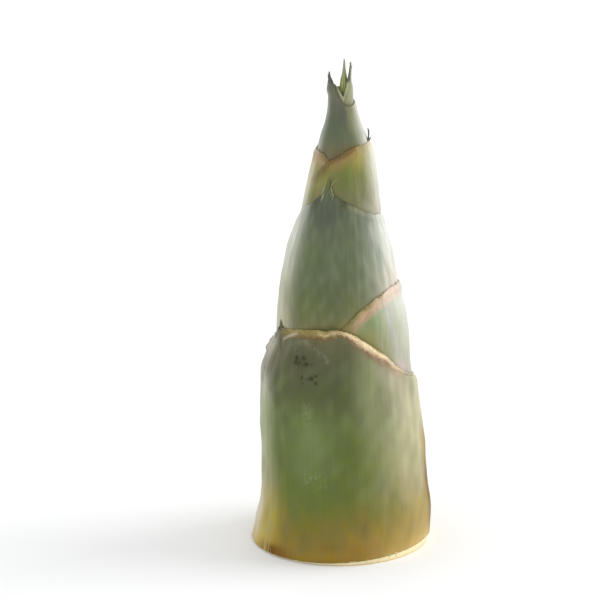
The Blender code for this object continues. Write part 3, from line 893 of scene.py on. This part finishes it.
def margin_lines(index, angles):
    """Along a sheath's margin: its height, its slope, what the ragged edge adds to it, and the millimetres in
    from the free side. The ragged edge is three noises of the angle. The upper corner of the lowest sheath's
    free side is a quarter of an ellipse."""
    sheath = SHEATHS[index]
    first, last = sheath.margin[0][0], sheath.margin[-1][0]
    edge = along(sheath.margin, angles)
    degree = np.radians(1.0) * inside(index, angles, edge)
    flank = np.abs(angles - (first if sheath.on_top == "start" else last)) * degree
    if index == 0:
        edge = edge - CORNER_DOWN * (1.0 - np.sqrt(1.0 - np.clip(1.0 - flank / CORNER_IN, 0.0, 1.0) ** 2))
    rag = 0.0
    for seed, share, size in RAG:
        rag = rag + LOOKS[index].jag * share * ripple(seed + index, angles, 0.0, size, 1.0)
    if sheath.on_top is None:
        rag = rag * smoothstep((180.0 - np.abs(angles - 0.5 * (first + last))) / 8.0)
    return edge, np.gradient(edge, angles) / degree, rag, flank


def sheath_radii(index, spot, edge):
    """Radius of the outer and of the inner face.

    The outer face is the frame's, plus ribs and dents where nothing covers it, less deep where the shoot is
    slim, plus the rolled rim: a half sine across the roll's width, uneven by noise. The lip of the lowest
    sheath's free side is a half sine too.
    """
    angle, z, across = spot.angle, spot.z, spot.round
    inner, wall = walls(index, angle, z)
    relief = sum(height * ripple(seed + index, across, z, wide, long) for seed, height, wide, long in RELIEF)
    slim = np.clip(core(angle, z) / 14.0, 0.15, 1.0)
    outer = inner + wall + smoothstep(spot.above / 5.0) * slim * relief
    roll = LOOKS[index].roll * (1.0 + 0.25 * ripple(70 + index, across, spot.inset, 6.0, 1.4))
    width = BARE_ROLL
    if index == 0:
        width = rolled_width(spot.side)
        roll = roll * beyond(spot.flank, 1.0, 7.0)
        lip = np.sin(np.pi * np.clip((spot.flank + 1.5) / 8.0, 0.0, 1.0))
        outer = outer + SIDE_LIP * lip * smoothstep((edge - z - 2.0) / 16.0)
    rolled = np.sin(np.pi * np.clip(spot.inset / width, 0.0, 1.0)) * (z < edge + 1.0)
    return outer + roll * rolled, inner


def sheath_marks(index, spot):
    """What the finish reads at each point: its place in the grain, how dry and specked it is, its colour. The
    colour is darker with painted shade in the crease above the next sheath's margin."""
    paint, dry = PAINTS[index](spot)
    if index:
        # Painted shade in the crease just above the margin of the next sheath outside.
        paint = over(paint, "3c3a26", 0.2 * (1.0 - smoothstep(spot.above / 1.4)))
    specks = 0.25 * near(spot.side, -28, 12) * near(spot.z, 87, 7) * (index == 0)
    return {
        "grain": np.stack([spot.round, spot.z, spot.inset], -1),
        "tone": np.stack([dry, 0.0 * dry, specks], -1),
        "paint": np.clip(paint - DEEPER, 0.002, 1.0),
    }


def sheath_surface(index):
    """Outer and inner face of a sheath as grids of points, with the marks that its finish reads.

    Heights run from the foot to the margin, closer together in the rim, where they also climb the blade: its
    height times a power of the way in from its sides.
    """
    blade, look = SHEATHS[index].blade, LOOKS[index]
    angles = fine_columns(SHEATHS[index], look.columns)
    edge, slope, rag, flank = margin_lines(index, angles)
    foot = foot_height(index, angles)
    low = np.linspace(0.0, 1.0, look.body_rows)[:, None]
    up = np.linspace(0.0, 1.0, look.rim_rows)[1:, None]
    rim_foot = edge - look.depth
    z = np.concatenate([foot + low * (rim_foot - foot), rim_foot + up * (look.depth + rag)])
    inset = (edge + rag - z) / np.hypot(1.0, slope)
    share = blade_share(index, angles)
    z[look.body_rows :] += blade.height * np.clip(1.0 - share, 0.0, 1.0) ** look.point * up

    angle, flank, share = (np.broadcast_to(line, z.shape) for line in (angles, flank, share))
    across = angle * np.radians(1.0) * GRAIN_RADIUS
    climb = np.clip((z - edge) / blade.height, 0.0, 1.0)
    above = z - covered_to(index, angle)
    spot = Spot(angle, turned(angle, 0.0), z, across, inset, flank, share, climb, above)
    outer, inner = sheath_radii(index, spot, edge)
    return place(angle, z, outer), place(angle, z, inner), sheath_marks(index, spot)


def make_sheath(index):
    """The two faces of a sheath, joined along its foot, its margin and, if it is open, its sides. The inner
    face has fewer rows, so the strip down a side is quads where a row is kept and triangles between."""
    name = SHEATHS[index].name
    outer, inner, marks = sheath_surface(index)
    closed = SHEATHS[index].on_top is None
    kept = np.unique(np.append(np.arange(0, len(inner) - 1, INNER_STEP), len(inner) - 1))
    out = numbered(*outer.shape[:2])
    back = numbered(len(kept), inner.shape[1], out.size)
    faces = [quads(out, closed), quads(back, closed)[:, ::-1]]
    faces.append(quads(np.stack([back[0], out[0]]), closed))
    faces.append(quads(np.stack([out[-1], back[-1]]), closed))
    if not closed:
        spread = np.searchsorted(kept, np.arange(len(out)), side="right") - 1
        for side, order in ((0, slice(None)), (-1, slice(None, None, -1))):
            near_side, far_side = out[:, side], back[spread, side]
            strip = np.stack([near_side[:-1], near_side[1:], far_side[1:], far_side[:-1]], -1)
            split = far_side[1:] == far_side[:-1]
            faces += [strip[~split][:, order], strip[split][:, :3][:, order]]
    points = np.concatenate([outer.reshape(-1, 3), inner[kept].reshape(-1, 3)])
    marks = {k: np.concatenate([v.reshape(-1, 3), v[kept].reshape(-1, 3)]) for k, v in marks.items()}
    finish = sheath_finish(name + "_finish", 0.47)
    piece = mesh_piece(name + "_leaf", points, faces, finish, marks, crease=60.0)
    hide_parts(name)


# -------- Spear leaf and culm --------

SPEAR_ROUND, SPEAR_ROWS = 96, 170  # columns round the spear leaf, and rows up its outer face
SPEAR_GRAIN = 4.0  # radius at which the millimetres round the spear leaf are counted
FAR_FROM_SEAM = 9.0  # stored as the distance from the free edge where the leaf has none
CULM_ROUND, CUT_RINGS = 180, 46  # columns round the culm, and rings of its cut face
CUT_RIM = 0.6  # how far the cut's last ring stays inside the wall


def ringed(rows, poles):
    """Points and faces of a closed skin of rings, with a pole at each end."""
    rings = numbered(len(rows), len(rows[0]))
    points = np.concatenate([np.array(rows).reshape(-1, 3), np.array(poles)])
    first, last = rings[0], rings[-1]
    low = np.stack([np.roll(first, -1), first, np.full_like(first, rings.size)], -1)
    high = np.stack([last, np.roll(last, -1), np.full_like(last, rings.size + 1)], -1)
    return points, [quads(rings, True), low, high]


def dome(count):
    """Shares of a dome's height, closer together towards its top, which is left out."""
    return 1.0 - (1.0 - np.linspace(0.0, 1.0, count + 1)[:-1]) ** 1.6


def paint_spear_leaf(heights, around, from_seam):
    """Dark green low down, with painted shade on its left there, light green above, dry at the tip, with a
    dark line at the free edge.
    """
    paint = by(heights, (150, "b0b27a"), (197, "5f6a30"), (201, "7c8848"), (203.5, "9ca864"), (207, "a9b470"),
               (210, "a0a572"), (213, "8f8c7c"), (217, "9c9892"))
    # Painted shade on the spear leaf's left low down, in the hollow of the sheaths round it.
    shade = smoothstep((14.0 - turned(around, 0.0)) / 24.0) * below(heights, 204.5, 3.0)
    paint = over(paint, "4b5226", 0.85 * shade)
    paint = over(paint, "535a2c", 0.7 * below(from_seam, 0.3, 0.2))
    paint = over(paint, "a7b280", 0.5 * near(from_seam, 0.6, 0.3))
    spots = smoothstep(ripple(91, around * np.radians(1.0) * SPEAR_GRAIN, heights, 1.5, 9.0))
    return over(paint, "4a4a30", 0.6 * near(heights, 208.5, 1.6) * spots)


def make_spear_leaf():
    """The rolled innermost leaf. Its free edge winds up it as a small step in the radius, which falls off
    evenly round the leaf; inside, it closes as a dome over the growing tip."""
    turns = np.linspace(0.0, 360.0, SPEAR_ROUND, endpoint=False)
    z = SPEAR_FOOT + (HEIGHT - SPEAR_FOOT) * np.linspace(0.0, 0.992, SPEAR_ROWS)[:, None] + 0.0 * turns
    angle = turns + 0.0 * z
    seam = -14.0 + 1.2 * (z - 200.0)
    fall = 0.5 - turned(angle, seam + 180.0) / 360.0
    swell = measure_by(z, (198, 1.0), (203, 1.15), (208, 1.2), (210.5, 0.95), (213, 0.8), (217, 1.0))
    radius = core(angle, z) * swell
    step = np.minimum(0.22, 0.18 * radius) * beyond(z, 196.0, 4.0)
    ribs = 0.02 * ripple(90, np.radians(angle) * SPEAR_GRAIN, z, 1.5, 20.0) * (radius > 1.0)
    radius = radius + step * (fall - 0.6) + ribs
    outer = place(angle, z, radius, LEAN * smoothstep((z - LEAN_FROM) / (LEAN_TO - LEAN_FROM)))

    share = dome(12)[::-1, None] + 0.0 * turns
    low = SPEAR_FOOT + (GROWING_TIP - SPEAR_FOOT) * share
    inner = place(turns + 0.0 * low, low, (along(CORE, low) - SPEAR_WALL) * np.sqrt(1.0 - share**3))
    poles = [place(0.0, GROWING_TIP, 0.0), place(0.0, HEIGHT, 0.0, LEAN)]
    points, faces = ringed([*inner, *outer], poles)

    heights = np.append(np.concatenate([low, z]), [GROWING_TIP, HEIGHT])
    around = np.append(np.concatenate([turns + 0.0 * low, angle]), [0.0, 0.0])
    from_seam = np.concatenate([np.full(low.shape, FAR_FROM_SEAM), np.abs(turned(angle, seam)) * 0.05])
    from_seam = np.append(from_seam, [FAR_FROM_SEAM, FAR_FROM_SEAM])
    marks = {
        "grain": np.stack([around * np.radians(1.0) * SPEAR_GRAIN, heights, from_seam], -1),
        "tone": np.zeros((len(points), 3)),
        "paint": paint_spear_leaf(heights, around, from_seam),
    }
    finish = sheath_finish("spear_leaf_finish", 0.42)
    piece = mesh_piece("spear_leaf_roll", points, faces, finish, marks, crease=60.0)
    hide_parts("spear_leaf")


def flesh_finish():
    """Moist cream flesh, darker and fibrous at the cut."""
    material, tree, surface = new_finish("flesh_finish", 0.4, specular=0.45)
    surface.inputs["Subsurface Weight"].default_value = 0.12
    surface.inputs["Subsurface Scale"].default_value = 0.002
    surface.inputs["Subsurface Radius"].default_value = (1.0, 0.7, 0.3)
    where = node(tree, "TexCoord").outputs["Object"]
    spots = noise(tree, where, (900.0, 900.0, 60.0), 2.0, 0.6)
    cloud = noise(tree, where, (90.0, 90.0, 90.0), 3.0)
    dots = remap(tree, spots, 0.58, 0.7, 0.0, 0.5, smooth=True)
    colour = blend(tree, dots, painted(tree), tint("a98d55"))
    shaded(tree, surface, colour, remap(tree, cloud, 0.3, 0.7, 0.9, 1.06))
    embossed(tree, surface, spots, 0.0002)
    return material


def paint_culm(heights, out):
    """Cream, with fine rings across the cut and a browner rim. out is the share of the way to the wall."""
    paint = by(heights, (0, "e9dcb4"), (1.5, "eadbb0"), (5, "e6d6a0"), (60, "e4dcae"))
    ring = 0.5 + 0.5 * np.sin(out * 60.0)
    paint = over(paint, "d9c68c", 0.3 * ring * (heights < 0.3) * (out < 0.98))
    return over(paint, "c9ab66", 0.6 * (heights < 0.3) * beyond(out, 0.86, 0.12))


def make_culm():
    """The stem: a cut face of fine rings, a wall that steps in above the foot of each sheath, a domed tip.
    The cut's relief is noise that fades out at its rim, and the dome's radius falls as the square root of
    one less the cube of the share of its height."""
    turns = np.linspace(0.0, 360.0, CULM_ROUND, endpoint=False)
    flesh = layer(0, turns, 0.0 * turns) - FLESH_INSET
    ledge = foot_height(0, turns) - GAP
    share = np.linspace(0.02, 1.0, CUT_RINGS)[:, None]
    x, y = (40.0 * share * way(np.radians(turns)) for way in (np.cos, np.sin))
    relief = np.clip(0.05 + 0.05 * ripple(95, x, y, 7.0, 2.2), 0.0, 0.2) * below(share, 1.0, 0.1)
    rows = list(place(turns, relief, share * (flesh - CUT_RIM)))
    heights = [0.0 * turns] * CUT_RINGS
    for z in (0.5 * ledge, ledge):
        rows.append(place(turns, z, flesh))
        heights.append(z)
    for index, top in enumerate([*FEET[1:], SPEAR_FOOT]):
        base = heights[-1]
        for part in np.linspace(0.0, 1.0, 4):
            z = base + part * (top - GAP - base)
            rows.append(place(turns, z, inside(index, turns, z) - GAP))
            heights.append(z)
    for part in dome(10):
        z = SPEAR_FOOT + part * (GROWING_TIP - SPEAR_FOOT) + 0.0 * turns
        rows.append(place(turns, z - GAP, (along(CORE, z) - SPEAR_WALL) * np.sqrt(1.0 - part**3) - 1.3 * GAP))
        heights.append(z)
    poles = [place(0.0, 0.05, 0.0), place(0.0, GROWING_TIP - 2.0 * GAP, 0.0)]
    points, faces = ringed(rows, poles)
    heights = np.append(heights, [0.0, GROWING_TIP])
    out = np.append(share, np.ones(len(rows) - CUT_RINGS))
    paint = paint_culm(heights, np.append(np.repeat(out, CULM_ROUND), [0.0, 1.0]))
    piece = mesh_piece("culm_flesh", points, faces, flesh_finish(), {"paint": paint}, crease=40.0)
    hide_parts("culm")


# -------- Hairs, bristles and torn fibres --------


def fibre_finish(name, code):
    """A dry fibre, slightly uneven in colour along its length."""
    material, tree, surface = new_finish(name, 0.6, specular=0.25)
    cloud = noise(tree, node(tree, "TexCoord").outputs["Object"], (700.0, 700.0, 700.0), 2.0)
    shaded(tree, surface, tint(code), remap(tree, cloud, 0.3, 0.7, 0.75, 1.2))
    return material


def frame_at(index, side, z):
    """Points in millimetres on a sheath's outer face, with the directions outwards, round and up there."""
    angle = unwrapped(SHEATHS[index], side)
    inner, wall = walls(index, angle, z)
    a = np.radians(angle)
    outwards = np.stack([np.sin(a), -np.cos(a), 0.0 * a], -1)
    round_way = np.stack([np.cos(a), np.sin(a), 0.0 * a], -1)
    return place(angle, z, inner + wall) / MM, outwards, round_way, np.array([0.0, 0.0, 1.0])


def hairs(name, roots, reach, bend, thick, finish, rings=6):
    """Tapering three-sided hairs. Each runs from its root along reach, and its tip is carried off by bend as
    the square of the way along; the radius falls from thick to a tenth of it."""
    s = np.linspace(0.0, 1.0, rings)[None, :, None]
    path = roots[:, None] + reach[:, None] * s + bend[:, None] * s**2
    along_it = np.gradient(path, axis=1)
    along_it /= np.linalg.norm(along_it, axis=2, keepdims=True)
    u = np.cross(along_it, np.array([0.31, 0.87, 0.38]))
    u /= np.linalg.norm(u, axis=2, keepdims=True)
    v = np.cross(along_it, u)
    radius = np.reshape(thick, (-1, 1, 1)) * (1.0 - 0.9 * s**1.4)
    turns = np.radians([0.0, 120.0, 240.0])
    points = np.stack([path + radius * (np.cos(t) * u + np.sin(t) * v) for t in turns], axis=2)
    vertex = np.arange(len(roots) * rings * 3).reshape(len(roots), rings, 3)
    a, b = vertex[:, :-1], vertex[:, 1:]
    sides = np.stack([a, np.roll(a, -1, 2), np.roll(b, -1, 2), b], -1).reshape(-1, 4)
    caps = np.concatenate([vertex[:, 0, ::-1], vertex[:, -1]])
    mesh_piece(name, points.reshape(-1, 3) * MM, [sides, caps], finish)


def fringe(name, index, sides, lengths, thick, lift, sway, finish, seed):
    """Hairs along a sheath's margin, growing upwards out of it. sides is the first and last direction and the
    number of hairs, lengths and thick are ranges, lift is the lean outwards and sway the spread sideways."""
    random = np.random.default_rng(seed)
    side = random.uniform(*sides)
    count = len(side)
    margin = along(SHEATHS[index].margin, unwrapped(SHEATHS[index], side))
    point, outwards, round_way, up = frame_at(index, side, margin - 0.3 * random.uniform(0.4, 1.6, count))
    length = random.uniform(*lengths, count)[:, None]
    lean = random.normal(0.0, sway, count)[:, None]
    reach = length * (up + lift * outwards + lean * round_way)
    bend = 0.5 * length * (random.normal(0.0, 0.5, count)[:, None] * round_way - 0.3 * up)
    thickness = random.uniform(*thick, count)
    hairs(name, point - 0.15 * outwards, reach, bend, thickness, finish)


def make_dark_tufts(finish):
    """Small tufts of short dark hairs on the lowest sheath below its margin, and single ones between."""
    random = np.random.default_rng(5)
    tuft, single = 7, 12
    dense = np.repeat(np.array(DARK_SPOTS)[:, :2], tuft, axis=0)
    dense = dense + random.normal(0.0, 1.0, dense.shape) * (1.1, 0.6)
    loose = random.normal(0.0, 1.0, (single, 2)) * (8.0, 4.5) + (-28.0, 87.5)
    side, z = np.concatenate([dense, loose]).T
    point, outwards, round_way, up = frame_at(0, side, z)
    count = len(side)
    length = random.uniform(0.5, 1.3, count)[:, None]
    way = np.where(random.uniform(size=count) < 0.7, 1.0, -1.0)[:, None]
    sway = random.normal(0.0, 0.35, count)[:, None]
    reach = length * (way * up + sway * round_way + 0.22 * outwards)
    bend = -0.2 * length * outwards
    hairs("dark_tufts", point, reach, bend, random.uniform(0.05, 0.13, count), finish, 5)


def make_bristles(finish):
    """Pale curled bristles beside the small blade of the third sheath."""
    # direction, root's height, length, lean sideways, curl sideways, curl upwards, thickness
    rows = (
        (-14.0, 160.8, 8.2, -5.2, 7.0, -1.2, 0.3),
        (-13.0, 160.2, 5.4, -3.0, 4.0, -0.4, 0.16),
        (-18.0, 160.2, 3.2, -0.3, -0.4, 0.0, 0.14),
        (-32.0, 161.0, 8.0, 2.6, 0.4, 0.0, 0.32),
        (-34.0, 160.4, 4.4, 1.6, -0.6, 0.0, 0.16),
        (-30.5, 160.8, 5.6, 1.4, 0.6, 0.0, 0.12),
    )
    side, z, *shape, thick = np.array(rows).T
    length, lean, curl, lift = (column[:, None] for column in shape)
    point, outwards, round_way, up = frame_at(2, side, z)
    reach = length * up + 0.3 * outwards + lean * round_way
    hairs("blade_bristles", point, reach, curl * round_way + lift * up, thick, finish, 14)


def make_torn_fibres(finish):
    """Short pale fibres torn out along the lower cut edge in front, some single and some in clumps."""
    random = np.random.default_rng(9)
    single, clumps, clump = 50, (-31, -22, -9, -2, 7, 17), 9
    side = random.uniform(-46, 60, single)
    side = np.append(side, np.repeat(clumps, clump) + random.normal(0, 0.9, clump * len(clumps)))
    point, outwards, round_way, up = frame_at(0, side, foot_height(0, side) + 0.25)
    count = len(side)
    length = random.uniform(0.5, 1.3, count)[:, None]
    reach = length * (0.5 * outwards - 0.2 * up + random.normal(0.0, 0.5, count)[:, None] * round_way)
    thick = random.uniform(0.1, 0.32, count)
    hairs("torn_fibres", point - 0.35 * outwards, reach, -0.15 * length * up, thick, finish, 5)


def make_tip_fray(finish):
    """Dry threads at the tips of the three top leaves."""
    random = np.random.default_rng(12)
    on_blades, on_spear = 7, 5
    roots, reach = [], []
    for index, side, z in np.repeat([(4, -85.0, 211.0), (5, 66.0, 215.0)], on_blades, axis=0):
        side = np.array([side + random.normal(0.0, 3.0)])
        point, outwards, round_way, up = frame_at(int(index), side, np.array([z - random.uniform(0, 2.5)]))
        roots.append(point[0])
        length = random.uniform(1.0, 2.6)
        way = up + random.normal(0.05, 0.2) * outwards[0]
        reach.append(length * (way + random.normal(0.0, 0.3) * round_way[0]))
    top = place(0.0, HEIGHT - 2.0, 0.0, LEAN) / MM
    for _ in range(on_spear):
        roots.append(top + random.normal(0.0, 0.15, 3) * (1, 1, 0))
        length = random.uniform(1.2, 2.4)
        reach.append(length * np.append(random.normal(0, 0.15, 2), 1.0))
    roots, reach = np.array(roots), np.array(reach)
    bend = random.normal(0.0, 0.35, roots.shape) * (1, 1, 0)
    hairs("tip_fray", roots, reach, bend, random.uniform(0.06, 0.14, len(roots)), finish)


def make_hairs():
    """Fringes on the margins, then the tufts, bristles, torn fibres and frayed tips."""
    dark = fibre_finish("dark_hair_finish", "3f3d2c")
    straw = fibre_finish("straw_hair_finish", "a2925f")
    pale = fibre_finish("pale_hair_finish", "9aa27c")
    cream = fibre_finish("cream_fibre_finish", "e6dba6")
    fringe("shoulder_fringe", 0, (-104.0, -70.0, 36), (0.4, 1.3), (0.06, 0.14), 0.25, 0.5, dark, 21)
    fringe("blade_fringe", 0, (-73.0, -60.0, 34), (0.6, 2.0), (0.05, 0.12), 0.15, 0.5, dark, 22)
    fringe("rim_threads", 0, (-52.0, 56.0, 44), (0.3, 0.9), (0.04, 0.08), 0.25, 1.0, straw, 23)
    fringe("back_threads", 0, (75.0, 250.0, 70), (0.4, 1.6), (0.04, 0.1), 0.3, 1.2, straw, 24)
    fringe("second_fringe", 1, (10.0, 160.0, 44), (0.3, 0.9), (0.04, 0.08), 0.2, 0.8, straw, 25)
    fringe("third_fringe", 2, (-48.0, 6.0, 26), (0.3, 0.9), (0.04, 0.08), 0.12, 0.7, dark, 26)
    fringe("fourth_fringe", 3, (-30.0, 70.0, 26), (0.3, 0.8), (0.04, 0.08), 0.15, 0.7, straw, 27)
    fringe("outer_blade_fringe", 3, (77.0, 87.0, 14), (1.0, 3.0), (0.08, 0.16), 0.35, 0.3, dark, 28)
    make_dark_tufts(dark)
    make_bristles(pale)
    make_torn_fibres(cream)
    make_tip_fray(dark)


make_camera()
make_studio()
for number in range(len(SHEATHS)):
    make_sheath(number)
make_spear_leaf()
make_culm()
make_hairs()
